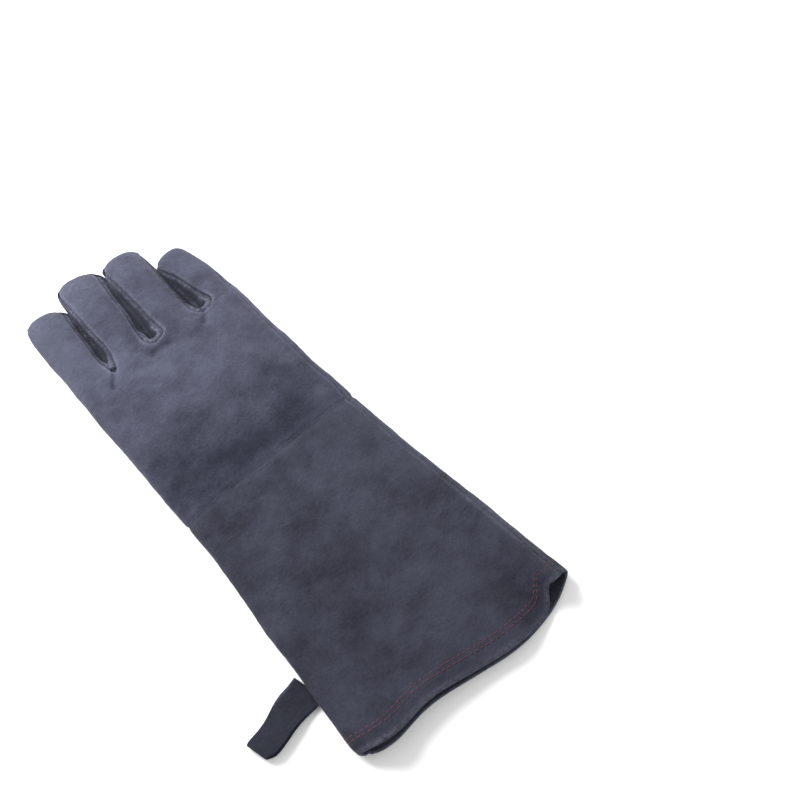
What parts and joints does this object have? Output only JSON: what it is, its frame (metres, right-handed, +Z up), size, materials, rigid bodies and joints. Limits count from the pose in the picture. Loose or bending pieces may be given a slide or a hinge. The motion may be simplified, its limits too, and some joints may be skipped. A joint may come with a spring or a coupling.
{
  "type": "heat resistant glove",
  "caption": "Long suede gauntlet glove for the right hand with a flared cuff, stitched hem, bending fingers, a folded-in thumb and a leather hanging loop.",
  "frame": {"origin": "middle of the wrist seam, on the plane that the glove rests on", "axes": "+Y from the wrist seam to the fingertips, +X to the little finger, +Z up out of the back of the hand"},
  "size_m": [0.2309, 0.4208, 0.0417],
  "materials": {
    "hand_suede": "brushed split cowhide, slate blue-grey nap",
    "side_suede": "brushed split cowhide, side walls of the fingers",
    "cuff_suede": "brushed split cowhide, darker slate",
    "loop_suede": "brushed split cowhide strap",
    "fleece_lining": "brushed cotton fleece",
    "canvas_lining": "dark cotton canvas",
    "aramid_thread": "dark red sewing thread"
  },
  "bodies": {
    "hand": {"crotch_index_middle": "side_suede", "crotch_middle_ring": "side_suede", "crotch_ring_little": "side_suede", "hand_back": "hand_suede", "hand_lining": "fleece_lining", "hand_palm": "hand_suede"},
    "index_finger": {"index_back": "hand_suede", "index_fourchette_right": "side_suede", "index_lining": "fleece_lining", "index_palm": "hand_suede"},
    "middle_finger": {"middle_back": "hand_suede", "middle_fourchette_left": "side_suede", "middle_fourchette_right": "side_suede", "middle_lining": "fleece_lining", "middle_palm": "hand_suede"},
    "ring_finger": {"ring_back": "hand_suede", "ring_fourchette_left": "side_suede", "ring_fourchette_right": "side_suede", "ring_lining": "fleece_lining", "ring_palm": "hand_suede"},
    "little_finger": {"little_back": "hand_suede", "little_fourchette_left": "side_suede", "little_lining": "fleece_lining", "little_palm": "hand_suede"},
    "thumb": {"thumb_inner": "hand_suede", "thumb_lining": "fleece_lining", "thumb_outer": "hand_suede"},
    "cuff": {"cuff_back": "cuff_suede", "cuff_lining": "canvas_lining", "cuff_palm": "cuff_suede", "hem_facing": "cuff_suede", "hem_stitch_row_inner": "aramid_thread", "hem_stitch_row_outer": "aramid_thread"},
    "loop": {"hanging_loop": "loop_suede"}
  },
  "joints": [
    {"name": "index_bend", "type": "hinge", "parent": "hand", "child": "index_finger", "pos_m": [-0.055, 0.138, 0.0195], "axis": [-0.9914, 0.1305, 0], "range_deg": [-10, 70]},
    {"name": "middle_bend", "type": "hinge", "parent": "hand", "child": "middle_finger", "pos_m": [-0.02, 0.138, 0.0195], "axis": [-0.9903, 0.1392, 0], "range_deg": [-10, 70]},
    {"name": "ring_bend", "type": "hinge", "parent": "hand", "child": "ring_finger", "pos_m": [0.0195, 0.137, 0.0195], "axis": [-0.9954, 0.0958, 0], "range_deg": [-10, 70]},
    {"name": "little_bend", "type": "hinge", "parent": "hand", "child": "little_finger", "pos_m": [0.0605, 0.135, 0.0195], "axis": [-0.9945, -0.1045, 0], "range_deg": [-10, 70]},
    {"name": "thumb_swing", "type": "hinge", "parent": "hand", "child": "thumb", "pos_m": [-0.046, 0.071, 0.007], "axis": [0, 0, 1], "range_deg": [0, 100]},
    {"name": "wrist_bend", "type": "hinge", "parent": "hand", "child": "cuff", "pos_m": [0, 0.005, 0.012], "axis": [-1, 0, 0], "range_deg": [-25, 40]},
    {"name": "loop_swing", "type": "hinge", "parent": "cuff", "child": "loop", "pos_m": [-0.0936, -0.1365, 0.0015], "axis": [-0.2079, 0.9781, 0], "range_deg": [0, 50]}
  ]
}
